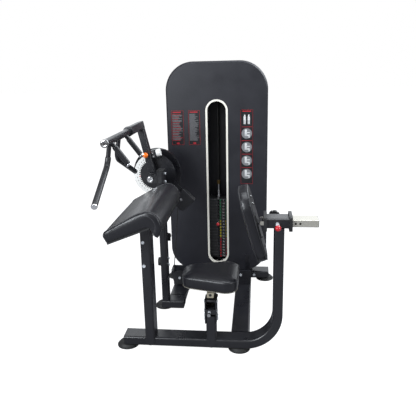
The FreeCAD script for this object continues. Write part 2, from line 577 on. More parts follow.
# Half of the tower's cover: a tray with rounded corners, open to the other half
def coverShell(name, front):
    body = newBody(name)
    sketch = sketchOn(body, "XZ_Plane", "Outline")
    roundedRectangle(sketch, "2 * towerHalf", "towerHigh - towerLow", "shellLowRound", "shellTopRound",
                     "-towerHalf", "towerLow")
    solid = pad(body, sketch, "shellDeep", backwards=True)
    doc.recompute()
    rim = [edge for edge, shape in named(solid) if onPlane(shape, 0 if front else size("shellDeep"))]
    bevel = body.newObject("PartDesign::Chamfer", "FrontBevel")
    bevel.Base = (solid, rim)
    bind(bevel, {"Size": "shellBevel"})
    doc.recompute()
    seam = [edge for edge, shape in named(bevel) if onPlane(shape, size("shellDeep") if front else 0)]
    groove = body.newObject("PartDesign::Chamfer", "SeamBevel")
    groove.Base = (bevel, seam)
    bind(groove, {"Size": "shellSeam"})
    hollow = sketchOn(body, "XZ_Plane", "Hollow")
    roundedRectangle(hollow, "2 * (towerHalf - shellWall)", "towerHigh - towerLow - 2 * shellWall",
                     "shellLowRound - shellWall", "shellTopRound - shellWall",
                     "-towerHalf + shellWall", "towerLow + shellWall")
    if front:
        bind(hollow, {"AttachmentOffset.Base.z": "-shellWall"})
    pocket = body.newObject("PartDesign::Pocket", "Inside")
    pocket.Profile = hollow
    pocket.Reversed = False
    bind(pocket, {"Length": "shellDeep - shellWall"})
    body.Tip = pocket
    return body


def named(feature):
    return [("Edge%d" % (i + 1), edge) for i, edge in enumerate(feature.Shape.Edges)]


def onPlane(edge, y):
    box = edge.BoundBox
    return abs(box.YMin - y) < NEAR and abs(box.YMax - y) < NEAR


# Upright opening with round ends
def windowSolid(half, low, high, y, deep):
    return fuse([
        block(("2 * (%s)" % half, deep, "(%s) - (%s) - 2 * (%s)" % (high, low, half)),
              ("-(%s)" % half, y, "(%s) + (%s)" % (low, half))),
        rod(half, deep, ("0", y, "(%s) + (%s)" % (low, half)), "Y"),
        rod(half, deep, ("0", y, "(%s) - (%s)" % (high, half)), "Y"),
    ])


# Room in the cover's floor for the uprights, the guide rods and the cable
def floorSlots():
    return [
        block(("2 * cableSlotHalf", "2 * shellDeep - shellWall + slideGap", "shellWall"),
              ("-cableSlotHalf", "-slideGap", "towerLow")),
        block(("2 * (uprightX + uprightWide + floorGap)", "uprightWide + 2 * floorGap", "floorSlotHigh"),
              ("-uprightX - uprightWide - floorGap", "uprightY - floorGap", "towerLow")),
    ]


def tower():
    front = coverShell("FrontCover", True)
    window = windowSolid("windowHalf", "windowLow", "windowHigh", "0", "shellWall")
    keep(cut(front, [window] + floorSlots()), "front_shroud")
    rear = coverShell("RearCover", False)
    bind(rear, {"Placement.Base.y": "shellDeep"})
    keep(cut(rear, floorSlots()), "rear_shroud")
    grow = "trimHalf - windowHalf"
    inside = "trimInner - windowHalf"
    flange = windowSolid("trimHalf", "windowLow - (%s)" % grow, "windowHigh + %s" % grow, "-trimThick",
                         "trimThick")
    neck = windowSolid("windowHalf - slideGap", "windowLow + slideGap", "windowHigh - slideGap", "0",
                       "shellWall + trimThick")
    hole = windowSolid("trimInner", "windowLow - (%s)" % inside, "windowHigh + %s" % inside, "-trimThick",
                       "shellWall + 2 * trimThick")
    keep(cut(fuse([flange, neck]), [hole]), "window_trim")
    placards = []
    for x, wide, low in (("placardOneX", "placardOneWide", "placardLow"),
                         ("placardTwoX", "placardTwoWide", "placardLow"),
                         ("placardThreeX", "placardThreeWide", "placardLongLow")):
        top = "placardTop - (%s)" % low
        placards.append(block((wide, "placardThick", top), (x, "-placardThick", low)))
    keep(together(placards), "info_plates")
    rods = [rod("rodRadius", "headZ - footHigh - tubeHigh", (x, "stackY", "footHigh + tubeHigh"))
            for x in ("-rodX", "rodX")]
    keep(together(rods), "guide_rods")
    buffers = []
    for x in ("-rodX", "rodX"):
        long, start = "stackLowZ - footHigh - tubeHigh", (x, "stackY", "footHigh + tubeHigh")
        buffers.append(cut(rod("bufferRadius", long, start), [rod("rodRadius + bearingGap", long, start)]))
    keep(together(buffers), "stack_bumpers")


# One plate of the stack with bevelled edges, drilled for the rods, the spine and the pin
def stackPlate():
    body = newBody("Plate")
    sketch = sketchOn(body, "XY_Plane", "Outline")
    roundedRectangle(sketch, "2 * plateHalf", "plateDeep", "plateRound", "plateRound", "-plateHalf", "0")
    solid = pad(body, sketch, "plateThick")
    doc.recompute()
    rims = [name for name, edge in named(solid) if edge.BoundBox.ZLength < NEAR]
    bevel = body.newObject("PartDesign::Chamfer", "Bevel")
    bevel.Base = (solid, rims)
    bind(bevel, {"Size": "plateEdge"})
    body.Tip = bevel
    middle = "plateDeep / 2"
    holes = [rod("rodRadius + rodGap", "plateThick", (x, middle, "0")) for x in ("-rodX", "rodX")]
    holes.append(rod("spineRadius + spineGap", "plateThick", ("0", middle, "0")))
    holes.append(rod("pinRadius + pinGap", "plateDeep / 2 + spineRadius", ("0", "0", "plateThick / 2"), "Y"))
    return cut(body, holes)


def weightStack():
    plate = stackPlate()
    thick, low = size("plateThick"), size("stackLowZ")
    near = size("stackY") - size("plateDeep") / 2
    resting = int(size("plateCount") - size("liftedCount"))
    lifted = int(size("liftedCount")) - 1
    start = low + resting * thick + size("liftGap")
    keep(copies(plate, [(0, near, low + n * thick) for n in range(resting)]), "resting_plates")
    keep(copies(plate, [(0, near, start + n * thick) for n in range(lifted)]), "lifted_plates")
    head = copies(plate, [(0, near, start + lifted * thick)])
    keep(head, "top_plate")
    topZ = "stackLowZ + plateCount * plateThick + liftGap"
    spine = rod("spineRadius", "plateCount * plateThick - 2 * spineGap",
                ("0", "stackY", "stackLowZ + 2 * spineGap + liftGap"))
    pinHoles = [rod("pinRadius + pinGap", "2 * spineRadius",
                    ("0", "stackY - spineRadius", "stackLowZ + liftGap + plateThick * (%d + 1 / 2)" % n), "Y")
                for n in range(int(size("plateCount")))]
    clamp = rod("clampRadius", "clampHigh", ("0", "stackY", topZ))
    collar = rod("clampRadius - plateEdge", "clampHigh", ("0", "stackY", topZ + " + clampHigh"))
    screw = rod("clampScrew", "clampScrewHigh", ("0", "stackY", topZ + " + 2 * clampHigh"))
    sleeve = rod("clampScrew + plateEdge", "clampHigh",
                 ("0", "stackY", topZ + " + 2 * clampHigh + clampScrewHigh"))
    keep(together([fuse([cut(spine, pinHoles), clamp, collar, screw]), sleeve]), "selector_spine")
    row = "stackLowZ + (plateCount - liftedCount) * plateThick + plateThick / 2 + liftGap"
    pin = rod("pinRadius", "stackY + pinOut + spineRadius / 2", ("0", "-pinOut", row), "Y")
    knob = rod("pinKnobRadius", "pinKnobLong", ("0", "-pinOut - pinKnobLong", row), "Y")
    keep(together([pin, knob]), "selector_pin")


def camWheel():
    body = newBody("Wheel")
    sketch = sketchOn(body, "XY_Plane", "Section")
    for number, formula in enumerate(("wheelRadius", "axleRadius")):
        sketch.addGeometry(Part.Circle(V(), V(0, 0, 1), size(formula)))
        sketch.addConstraint(Sketcher.Constraint("Coincident", number, 3, -1, 1))
        index = sketch.addConstraint(Sketcher.Constraint("Radius", number, size(formula)))
        sketch.setExpression("Constraints[%d]" % index, inSheet(formula))
    pad(body, sketch, "wheelThick")
    startHoles(body)
    lean = FreeCAD.Rotation(V(0, 1, 0), -size("armAngle"))
    body.Placement = FreeCAD.Placement(V(), lean.multiply(ALONG["Y"]))
    front = "cableFrontY - wheelThick / 2"
    bind(body, {"Placement.Base.x": "axleX", "Placement.Base.z": "axleZ", "Placement.Base.y": front})
    rim = cut(body, [cableGroove("grooveCircle", "wheelRadius", ("axleX", "cableFrontY", "axleZ"), "Y")])
    hub = rod("wheelHub", front + " - dialFrontY - dialThick",
              ("axleX", "dialFrontY + dialThick", "axleZ"), "Y")
    bore = rod("axleRadius", front + " - dialFrontY", ("axleX", "dialFrontY", "axleZ"), "Y")
    keep(cut(fuse([rim, hub]), [bore]), "cam_wheel")


# Row of blind holes in the wheel's front for the start pin
def startHoles(body):
    holes = sketchOn(body, "XY_Plane", "StartHole")
    holes.addGeometry(Part.Circle(V(size("startCircle"), 0), V(0, 0, 1), size("startHole")))
    holes.addConstraint(Sketcher.Constraint("PointOnObject", 0, 3, -1))
    for constraint, formula in ((("Radius", 0, size("startHole")), "startHole"),
                                (("DistanceX", -1, 1, 0, 3, size("startCircle")), "startCircle")):
        index = holes.addConstraint(Sketcher.Constraint(*constraint))
        holes.setExpression("Constraints[%d]" % index, inSheet(formula))
    drilled = body.newObject("PartDesign::Pocket", "StartHoles")
    drilled.Profile = holes
    drilled.Reversed = True
    bind(drilled, {"Length": "startDeep"})
    pattern = body.newObject("PartDesign::PolarPattern", "HoleRow")
    pattern.Originals = [drilled]
    pattern.Axis = (holes, ["N_Axis"])
    pattern.Reversed = True
    bind(pattern, {"Angle": "startStepAngle * (startCount - 1)", "Occurrences": "startCount"})
    body.Tip = pattern
    doc.recompute()


# Axle with a disc at each end, and the counterweight's bolt, which stands on the same wheel
def axle():
    shaft = rod("axleRadius", "axleRearY - axleFrontY", ("axleX", "axleFrontY", "axleZ"), "Y")
    nut = rod("axleCapRadius", "axleCapThick", ("axleX", "axleRearY", "axleZ"), "Y")
    cap = rod("axleCapRadius", "axleCapThick", ("axleX", "axleFrontY - axleCapThick", "axleZ"), "Y")
    face = "cableFrontY - wheelThick / 2 - leverThick - weightThick"
    bolt = aroundAxle(together([boltHead("weightBolt", face, "0", "Y", -1)]), size("weightAngle"))
    keep(together([fuse([shaft, nut, cap]), bolt]), "axle")


# Disc in front of the wheel with the raised arc of its scale
def dialPlate():
    dial = cut(rod("dialRadius", "dialThick", ("axleX", "dialFrontY", "axleZ"), "Y"),
               [rod("axleRadius", "dialThick", ("axleX", "dialFrontY", "axleZ"), "Y")])
    start = ("0", "dialFrontY - dialRaise", "0")
    scale = cut(rod("dialRadius", "dialRaise", start, "Y"), [rod("dialInner", "dialRaise", start, "Y")])
    sector = rod("2 * dialRadius", "dialRaise", start, "Y")
    bind(sector, {"Angle": "dialEndAngle - dialStartAngle"})
    arc = doc.addObject("Part::MultiCommon", "DialArc")
    arc.Shapes = [scale, sector]
    keep(together([dial, aroundAxle(arc, size("dialEndAngle") - 90)]), "dial_plate")


def counterweight():
    y = "cableFrontY - wheelThick / 2"
    lever = block(("weightFar - wheelHub", "leverThick", "2 * leverHalf"),
                  ("wheelHub", y + " - leverThick", "-leverHalf"))
    hole = rod("boltShank + slideGap", "leverThick", ("weightBolt", y + " - leverThick", "0"), "Y")
    lever = cut(lever, [hole])
    keep(aroundAxle(lever, size("weightAngle")), "weight_lever")
    body = newBody("Counterweight")
    sketch = sketchOn(body, "XZ_Plane", "Outline")
    roundedRectangle(sketch, "weightFar - weightNear", "2 * weightHalf", "weightRound", "plateRound",
                     "weightNear", "-weightHalf")
    solid = pad(body, sketch, "weightThick")
    doc.recompute()
    front = [name for name, edge in named(solid) if onPlane(edge, -size("weightThick"))]
    bevel = body.newObject("PartDesign::Chamfer", "Bevel")
    bevel.Base = (solid, front)
    bind(bevel, {"Size": "plateEdge"})
    body.Tip = bevel
    bind(aroundAxle(body, size("weightAngle")), {"Placement.Base.y": y + " - leverThick"})
    keep(body, "counterweight")


def leverPost():
    post = tube("Z", "camPostWide", "camPostDeep", "camPostTop - footHigh - tubeHigh",
                ("camPostX", "camPostY", "footHigh + tubeHigh"), name="LeverPost")
    long = "housingRearY - housingFrontY"
    barrel = rod("housingRadius", long, ("axleX", "housingFrontY", "axleZ"), "Y")
    web = block(("camPostX - axleX", long, "2 * housingBolt"),
                ("axleX", "housingFrontY", "axleZ - housingBolt"))
    bore = rod("axleRadius + bearingGap", long, ("axleX", "housingFrontY", "axleZ"), "Y")
    keep(cut(fuse([barrel, web]), [bore]), "axle_housing")
    plate = block(("bumperPlateWide", "padStopPlate", "2 * bumperRadius + 2 * padStopPlate"),
                  ("camPostX", "camPostY + camPostDeep", "bumperZ - bumperRadius - padStopPlate"))
    keep(together([post, plate]), "lever_post")
    rubber = rod("bumperRadius", "bumperLong",
                 ("camPostX + bumperPlateWide - bumperRadius", "camPostY + camPostDeep + padStopPlate",
                  "bumperZ"), "Y")
    side = rod("padStopRadius", "padStopLong",
               ("camPostX - padStopLong", "camPostY + camPostDeep / 2", "padStopZ"), "X")
    keep(together([rubber, side]), "post_bumpers")


def swingArm():
    leg = tube("Z", "armWide", "armDeep", "armLong", ("-armWide / 2", "armFrontY", "0"), "armWall", "armRound",
               "Leg")
    hub = rod("armHubRadius", "armDeep + 2 * armHubGrow", ("0", "armFrontY - armHubGrow", "0"), "Y")
    across = tube("Y", "armHigh", "armWide", "armFrontY + armDeep - armEndY",
                  ("-armWide / 2", "armEndY", "armLong - armHigh / 2"), "armWall", "armRound", "Across")
    bore = rod("axleRadius + bearingGap", "armDeep + 4 * armHubGrow",
               ("0", "armFrontY - 2 * armHubGrow", "0"), "Y")
    guide = rod("guideRadius", "guideRearY - armFrontY + startGuide",
                ("0", "armFrontY - startGuide", "startCircle"), "Y")
    pinBore = rod("pinRadius + bearingGap", "guideRearY - armFrontY + 2 * startGuide",
                  ("0", "armFrontY - 2 * startGuide", "startCircle"), "Y")
    lid = block(("armWide - 2 * armRound", "armWall", "armHigh - 2 * armRound"),
                ("-armWide / 2 + armRound", "armFrontY + armDeep - armWall",
                 "armLong - armHigh / 2 + armRound"))
    stub = cut(fuse([leg, hub, across, guide, lid]), [bore, pinBore])
    bracket = block(("stopArm", "stopDeep", "stopHigh"),
                    ("armWide / 2", "stopY - stopDeep / 2", "stopZ - stopHigh / 2"))
    keep(aroundAxle(together([stub, bracket]), size("armAngle")), "swing_arm")
    buffer = rod("stopRadius", "stopLong", ("armWide / 2 + stopArm", "stopY", "stopZ"), "X")
    keep(aroundAxle(together([buffer]), size("armAngle")), "arm_stop")
    collar = rod("collarRadius", "collarThick", (BAR_X, "armEndY - collarThick", BAR_Z), "Y")
    shaft = rod("barRadius", "armEndY - (%s)" % BAR_END, (BAR_X, BAR_END, BAR_Z), "Y")
    cap = rod("barCapRadius", "barCapThick", (BAR_X, BAR_END + " - barCapThick", BAR_Z), "Y")
    stops = [boltHead("armWide / 2 + stopArm / 2", "stopY - stopDeep / 2", "stopZ + %d * stopBolt" % side,
                      "Y", -1) for side in (-1, 1)]
    keep(together([fuse([collar, shaft, cap]), aroundAxle(together(stops), size("armAngle"))]), "crossbar")
    long = "cableFrontY - wheelThick / 2 - slideGap - armFrontY + startGuide + startStem"
    tip = ("0", "armFrontY - startGuide - startStem", "startCircle")
    pin = rod("pinRadius", long, tip, "Y")
    knob = ball("startKnobRadius", shift(tip, "Y", "-startKnobRadius / 2"))
    knob = cut(knob, [rod("pinRadius", "startKnobRadius * 2", tip, "Y")])
    keep(aroundAxle(together([pin, knob]), size("armAngle")), "start_pin")


# A turning handle: sleeve on the crossbar, a short straight grip and a long bent one, each so far
# from the sleeve's near end
def handle(label, low, shortIn, longIn, way):
    x, z = BAR_X, BAR_Z
    shortY, longY = low + " + " + shortIn, low + " + " + longIn
    sleeve = rod("sleeveRadius", "sleeveLong", (x, low, z), "Y")
    bore = rod("barRadius + bearingGap", "sleeveLong", (x, low, z), "Y")
    tilt = FreeCAD.Rotation(V(0, 1, 0), 90 - size("gripAngle"))
    short = doc.addObject("Part::Cylinder", "ShortRoot")
    bind(short, {"Radius": "gripRadius", "Height": "gripLong"})
    locate(short, (x, shortY, z), tilt)
    start = V(value(x), value(longY), value(z))
    bend = start + V(-size("longLean"), 0, -size("longDrop"))
    end = bend + V(size("longLean"), way * size("longSpread"), -size("longFall"))
    route = roundRoute([start, bend, end], [size("longBend")])
    long = formed(swept(route, size("gripRadius")), "LongRoot")
    root = cut(fuse([sleeve, short, long]), [bore])
    heading = tilt.multVec(V(0, 0, 1))
    origin = V(value(x), value(shortY), value(z))
    capLong, first = size("gripCapLong"), size("gripFoamStart")
    held = Part.Wire(route.Edges[1:])
    tip = (end - bend).normalize()
    beyond = Part.makeCylinder(2 * size("gripFoam"), 2 * capLong, end - tip * capLong, tip)
    foam = swept(held, size("gripFoam")).cut(swept(held, size("gripRadius"))).cut(beyond)
    grips = [hollowRod(origin + heading * first, heading, size("gripLong") - first - capLong), foam]
    keep(formed(Part.makeCompound(grips)), label + "_grips")
    caps = [hollowRod(origin + heading * (size("gripLong") - capLong), heading, capLong),
            hollowRod(end - tip * capLong, tip, capLong)]
    keep(together([root, formed(Part.makeCompound(caps))]), label + "_handle")


def hollowRod(start, heading, length):
    return Part.makeCylinder(size("gripFoam"), length, start, heading).cut(
        Part.makeCylinder(size("gripRadius"), length, start, heading))


# The arm pad's section as shares of its length and height, from the low left
PAD_TOP_SHARES = [(0.0, 0.19), (0.03, 0.31), (0.42, 0.74), (0.57, 0.895), (0.67, 0.96), (0.77, 1.0),
                  (0.88, 0.93), (0.96, 0.77), (1.0, 0.53), (0.955, 0.26), (0.91, 0.16)]
PAD_UNDER_SHARES = [(0.87, 0.2), (0.81, 0.46), (0.78, 0.51)]


# Corners of the arm pad's board, from its lower left, and the direction square to it
def armPadBoard():
    long, high = size("armPadLong"), size("armPadHigh")
    left, low = size("armPadLeftX"), size("armPadLowZ")
    slope = math.radians(size("padAngle"))
    share, rise = PAD_UNDER_SHARES[-1]
    right = V(left + share * long, 0, low + rise * high)
    boardLeft = left + size("armPadLeftInset")
    start = V(boardLeft, 0, right.z - math.tan(slope) * (right.x - boardLeft))
    down = V(math.sin(slope), 0, -math.cos(slope))
    return start, right, down


def armPadPlate():
    start, right, down = armPadBoard()
    along = (right - start).normalize()
    near = start + down * size("boardThick") + along * size("padPlateStart")
    far = near + along * size("padPlateLong")
    thick = down * size("padPlateThick")
    middle = size("postY") + size("tubeWide") / 2
    outline = [near, far, far + thick, near + thick, near]
    face = Part.Face(Part.makePolygon([V(p.x, middle - size("padPlateHalf"), p.z) for p in outline]))
    return formed(face.extrude(V(0, 2 * size("padPlateHalf"), 0)), "PadPlate")


def armPad():
    long, high = size("armPadLong"), size("armPadHigh")
    left, low = size("armPadLeftX"), size("armPadLowZ")
    start, right, down = armPadBoard()
    topSide = [V(left + share * long, 0, low + rise * high) for share, rise in PAD_TOP_SHARES]
    underSide = [V(left + share * long, 0, low + rise * high) for share, rise in PAD_UNDER_SHARES] + [start]
    near, far = size("armPadNearY"), size("armPadFarY")
    inset, crown = size("armPadInset"), size("armPadCrown")
    edge, shoulder = inset * size("edgeShare"), inset * size("armPadEndShare")
    steps = [(near, inset, 0), (near + inset, edge, 0), (near + shoulder, 0, 0), ((near + far) / 2, 0, crown),
             (far - shoulder, 0, 0), (far - inset, edge, 0), (far, inset, 0)]
    outline = topSide + underSide
    middle = V(sum(p.x for p in outline) / len(outline), 0, sum(p.z for p in outline) / len(outline))
    wires = []
    for y, drawnIn, swell in steps:
        points = []
        for number, point in enumerate(outline):
            bulge = 0
            if number < len(topSide):
                bulge = swell * math.sin(math.pi * number / (len(topSide) - 1)) - drawnIn
            moved = point + (point - middle).normalize() * bulge
            points.append(V(moved.x, y, moved.z))
        wires.append(Part.makePolygon(points + [points[0]]))
    keep(formed(Part.makeLoft(wires, True, True)), "arm_pad")
    margin = size("boardInset")
    thick = down * size("boardThick")
    corners = [start, right, right + thick, start + thick, start]
    face = Part.Face(Part.makePolygon([V(p.x, near + margin, p.z) for p in corners]))
    keep(formed(face.extrude(V(0, far - near - 2 * margin, 0))), "arm_pad_board")


# Seat whose cover wraps round the edge of its board
def seat():
    left, right = size("seatLeftX"), size("seatRightX")
    middle = size("seatMidY")
    a, b = size("seatLeftHalf"), size("seatRightHalf")
    corners = [(left, middle - a), (right, middle - b), (right, middle + b), (left, middle + a)]
    low, pipe, top = size("seatLowZ"), size("seatPipeZ"), size("seatTopZ")
    inset, edge = size("seatInset"), size("seatInset") * size("edgeShare")
    steps = [(low, inset), (low + (pipe - low) * size("edgeShare"), edge), (pipe, 0),
             ((pipe + top) / 2, inset * size("shoulderShare")), (top, inset * size("seatTopShare"))]
    sides = [(low, size("boardInset")), (low + size("boardThick"), size("boardInset"))]
    board = cushion(corners, size("seatRound"), sides)
    keep(formed(cushion(corners, size("seatRound"), steps).cut(board)), "seat_cushion")
    keep(formed(board), "seat_board")


# Tube under the seat with the plate that carries it and the far pins of its links
def seatCarriage():
    plateZ = "seatLowZ - seatPlate"
    left = LINK_MIDDLE + " - carriageWide / 2"
    run = tube("Y", "carriageHigh", "carriageWide", "carriageRearY - carriageFrontY",
               (left, "carriageFrontY", CARRIAGE_Z), name="Carriage", edge="armRound")
    cap = block(("carriageWide - 2 * tubeWall", "tubeWall", "carriageHigh - 2 * tubeWall"),
                (left + " + tubeWall", "carriageFrontY", CARRIAGE_Z + " + tubeWall"))
    riser = block(("carriageWide", "riserDeep", "(%s) - (%s) - carriageHigh" % (plateZ, CARRIAGE_Z)),
                  (left, "seatMidY - riserDeep / 2", CARRIAGE_Z + " + carriageHigh"))
    plate = block(("seatPlateWide", "riserDeep", "seatPlate"),
                  (LINK_MIDDLE + " - seatPlateWide / 2", "seatMidY - riserDeep / 2", plateZ))
    items = [run, cap, riser, plate]
    for x in (left, LINK_MIDDLE + " + carriageWide / 2 - linkThick"):
        items.append(block(("linkThick", "linkHalf * dropShare",
                            "(%s) - (%s) + linkHalf" % (CARRIAGE_Z, FAR_LOW)),
                           (x, "(%s) - linkHalf * dropShare / 2" % FAR_Y, "(%s) - linkHalf" % FAR_LOW)))
    beside = "carriageWide / 2 + linkThick + linkSide"
    for z in (FAR_LOW, FAR_HIGH):
        items.append(rod("linkPin", "2 * (%s + linkPinHeadLong)" % beside,
                         ("%s - (%s) - linkPinHeadLong" % (LINK_MIDDLE, beside), FAR_Y, z), "X"))
        for x in ("%s - (%s) - linkPinHeadLong" % (LINK_MIDDLE, beside), "%s + %s" % (LINK_MIDDLE, beside)):
            items.append(rod("linkPinHead", "linkPinHeadLong", (x, FAR_Y, z), "X"))
    hole = rod("lockRadius", "tubeWall",
               (LINK_MIDDLE, "carriageFrontY", CARRIAGE_Z + " + carriageHigh / 2"), "Y")
    keep(cut(fuse(items), [hole]), "seat_carriage")


# A pair of the seat's links, one each side; gap is the play around their far pin
def linkPair(z, gap):
    sides = []
    for x in (" - carriageWide / 2 - linkThick - linkSide / 2", " + carriageWide / 2 + linkSide / 2"):
        bar = fuse([block(("linkThick", "linkLong", "2 * linkHalf"), ("0", "0", "-linkHalf")),
                    rod("linkHalf", "linkThick", ("0", "0", "0"), "X"),
                    rod("linkHalf", "linkThick", ("0", "linkLong", "0"), "X")])
        bar = cut(bar, [rod("linkPin + bearingGap", "linkThick", ("0", "0", "0"), "X"),
                        rod("linkPin + " + gap, "linkThick", ("0", "linkLong", "0"), "X")])
        bar.Placement = FreeCAD.Placement(V(), FreeCAD.Rotation(V(1, 0, 0), size("linkAngle")))
        bind(bar, {"Placement.Base.x": LINK_MIDDLE + x, "Placement.Base.y": "linkY", "Placement.Base.z": z})
        sides.append(bar)
    return sides


# Web that joins a pair of links along their lower edges
def linkWeb(z, start):
    across = "carriageWide + linkSide"
    web = together([block((across, "linkLong - webShort - " + start, "linkThick"),
                          ("-(%s) / 2" % across, start, "-linkHalf"))])
    web.Placement = FreeCAD.Placement(V(), FreeCAD.Rotation(V(1, 0, 0), size("linkAngle")))
    bind(web, {"Placement.Base.x": LINK_MIDDLE, "Placement.Base.y": "linkY", "Placement.Base.z": z})
    return web


def seatLinks():
    start = (LINK_MIDDLE + " - carriageWide / 2 - linkSide / 2", "linkY", "linkLowZ")
    hub = rod("hubRadius", "carriageWide + linkSide", start, "X")
    drilled = [rod("linkPin + bearingGap", "carriageWide + linkSide", start, "X")]
    first = -size("lockBelow")
    drilled += [lockHole((first + n) * size("lockStepAngle")) for n in range(int(size("lockCount")))]
    lower = linkPair("linkLowZ", "bearingGap") + [cut(hub, drilled), linkWeb("linkLowZ", "hubRadius / 2")]
    keep(fuse(lower), "seat_lower_links")
    upperZ = "linkLowZ + linkRise"
    keep(fuse(linkPair(upperZ, "openGap") + [linkWeb(upperZ, "linkHalf")]), "seat_upper_links")
    pinX = "seatPostX - cheekPlate - linkPinHeadLong"
    pins = []
    for z in ("linkLowZ", "linkLowZ + linkRise"):
        pins.append(rod("linkPin", "postWide + 2 * (cheekPlate + linkPinHeadLong)", (pinX, "linkY", z), "X"))
        pins += [rod("linkPinHead", "linkPinHeadLong", (x, "linkY", z), "X")
                 for x in (pinX, "seatPostX + postWide + cheekPlate")]
    fasteners.append(fuse(pins))


# Radial hole of the seat's lock hub, in line with the lock pin once the links have turned so far
def lockHole(turned):
    start = V(size("lockX"), size("linkY"), size("linkLowZ"))
    angle = math.radians(turned)
    heading = V(0, -math.cos(angle), math.sin(angle))
    near = size("hubRadius") - size("lockDeep")
    radius = size("lockRadius") + size("slideGap")
    return formed(Part.makeCylinder(radius, size("hubRadius"), start + heading * near, heading))


def seatLock():
    front = "postY - lockBarrelLong"
    barrel = rod("lockBarrel", "lockBarrelLong", ("lockX", front, "linkLowZ"), "Y")
    bore = rod("lockRadius + bearingGap", "lockBarrelLong", ("lockX", front, "linkLowZ"), "Y")
    fasteners.append(cut(barrel, [bore]))
    long = "linkY - hubRadius - slideGap - postY + lockBarrelLong + lockLong"
    pin = rod("lockRadius", long, ("lockX", front + " - lockLong", "linkLowZ"), "Y")
    knob = rod("lockKnob", "lockLong - lockDeep - turnGap", ("lockX", front + " - lockLong", "linkLowZ"), "Y")
    keep(fuse([pin, knob]), "seat_lock")


def backSleeve():
    sleeve = tube("X", "tubeWide", "holderHigh", "holderLong", ("holderX", "beamFrontY", "holderZ"),
                  "holderWall", name="Holder")
    pinHole = rod("pinRadius + bearingGap", "holderWall", ("slideFirstX", "beamFrontY", HOLDER_MIDDLE), "Y")
    stemHole = rod("starStem + bearingGap", "holderWall",
                   ("starX", "beamFrontY + tubeWide - holderWall", HOLDER_MIDDLE), "Y")
    keep(cut(sleeve, [pinHole, stemHole]), "adjuster_sleeve")
    rings = []
    for x in ("holderX - ringThick", "holderX + holderLong"):
        body = newBody("EndRing")
        sketch = sketchOn(body, "XY_Plane", "Ring")
        roundedRectangle(sketch, "tubeWide + 2 * ringGrow", "holderHigh + 2 * ringGrow", "ringGrow", "ringGrow",
                         "0", "0")
        roundedRectangle(sketch, BAR_WIDE + " + 2 * slideGap", BAR_HIGH + " + 2 * slideGap", "slideGap * 2",
                         "slideGap * 2", "ringGrow + holderWall", "ringGrow + holderWall")
        pad(body, sketch, "ringThick")
        rings.append(locate(body, (x, "beamFrontY - ringGrow", "holderZ - ringGrow"), ALONG["X"]))
    keep(together(rings), "sleeve_rings")


# Drilled bar that slides in the sleeve, closed at both ends, with the fork that the pad tilts on
def backBar():
    barZ = "holderZ + holderWall + slideGap"
    bar = tube("X", BAR_WIDE, BAR_HIGH, "slideEndX - slideStartX", ("slideStartX", BAR_Y, barZ), "slideWall",
               "slideWall + slideGap", "Bar")
    ends = [block(("capThick", BAR_WIDE + " - 2 * slideWall", BAR_HIGH + " - 2 * slideWall"),
                  (x, BAR_Y + " + slideWall", barZ + " + slideWall"))
            for x in ("slideEndX - capThick", "slideStartX")]
    holes = [rod("pinRadius + slideGap", "slideWall",
                 ("slideFirstX + %d * slidePitch" % n, BAR_Y, HOLDER_MIDDLE), "Y")
             for n in range(int(size("slideCount")))]
    cheeks = []
    for y in (BAR_Y, "%s + %s - pivotLug" % (BAR_Y, BAR_WIDE)):
        cheeks.append(block(("slideStartX - pivotX", "pivotLug", "2 * pivotEnd"),
                            ("pivotX", y, HOLDER_MIDDLE + " - pivotEnd")))
        cheeks.append(rod("pivotEnd", "pivotLug", ("pivotX", y, HOLDER_MIDDLE), "Y"))
    pivot = rod("pivotRadius", BAR_WIDE, ("pivotX", BAR_Y, HOLDER_MIDDLE), "Y")
    keep(fuse([cut(fuse([bar] + ends), holes), fuse(cheeks + [pivot])]), "back_bar")


def backPad():
    long = BAR_WIDE + " - 2 * pivotLug - 2 * sideGap"
    lugY = BAR_Y + " + pivotLug + sideGap"
    barrel = rod("pivotEnd", long, ("pivotX", lugY, HOLDER_MIDDLE), "Y")
    bore = rod("pivotRadius + bearingGap", long, ("pivotX", lugY, HOLDER_MIDDLE), "Y")
    plate = tilted(block(("hangerLong", long, "hangerThick"), ("-hangerLong / 2", lugY, "-hangerThick")))
    web = tilted(block(("pivotEnd", long, "pivotReach + hangerThick"),
                       ("pivotShift - pivotEnd / 2", lugY, "-hangerThick - pivotReach")))
    heads = [tilted(boltHead(place, "backMidY", "0", "Z", -1))
             for place in ("backBoltOne", "backBoltTwo", "backBoltThree", "backBoltFour")]
    keep(together([cut(fuse([barrel, plate, web]), [bore])] + heads), "pivot_hanger")
    corners, radius = backCorners(size("boardInset")), [size("backRound")] * 4
    board = Part.makeLoft([roundedOutline(corners, radius, level) for level in (0, size("backBoard"))],
                          True, True)
    keep(tilted(formed(board)), "back_board")
    full, inset, edge = size("backThick"), size("backInset"), size("backInset") * size("edgeShare")
    steps = [(0, inset), (full / 4, edge), (full / 2, 0), (full - inset, edge),
             (full, inset * size("shoulderShare")), (full + size("backCrown"), inset * size("backTopShare"))]
    cover = cushion(backCorners(0), size("backRound"), steps).cut(board)
    keep(tilted(formed(cover)), "back_cushion")


def backCorners(inset):
    along, half = size("backLong") / 2 - inset, size("backHalf") - inset
    middle = size("backMidY")
    return [(-along, middle - half), (along, middle - half), (along, middle + half), (-along, middle + half)]


# Turns a piece drawn flat, its front side up, into the slope of the back pad
def tilted(item):
    place = FreeCAD.Placement(V(size("backMidX"), 0, size("backMidZ")),
                              FreeCAD.Rotation(V(0, 1, 0), -90 - size("backAngle")))
    doc.recompute()
    shape = item.Shape.copy()
    shape.Placement = place.multiply(shape.Placement)
    return formed(shape, item.Name + "Tilted")


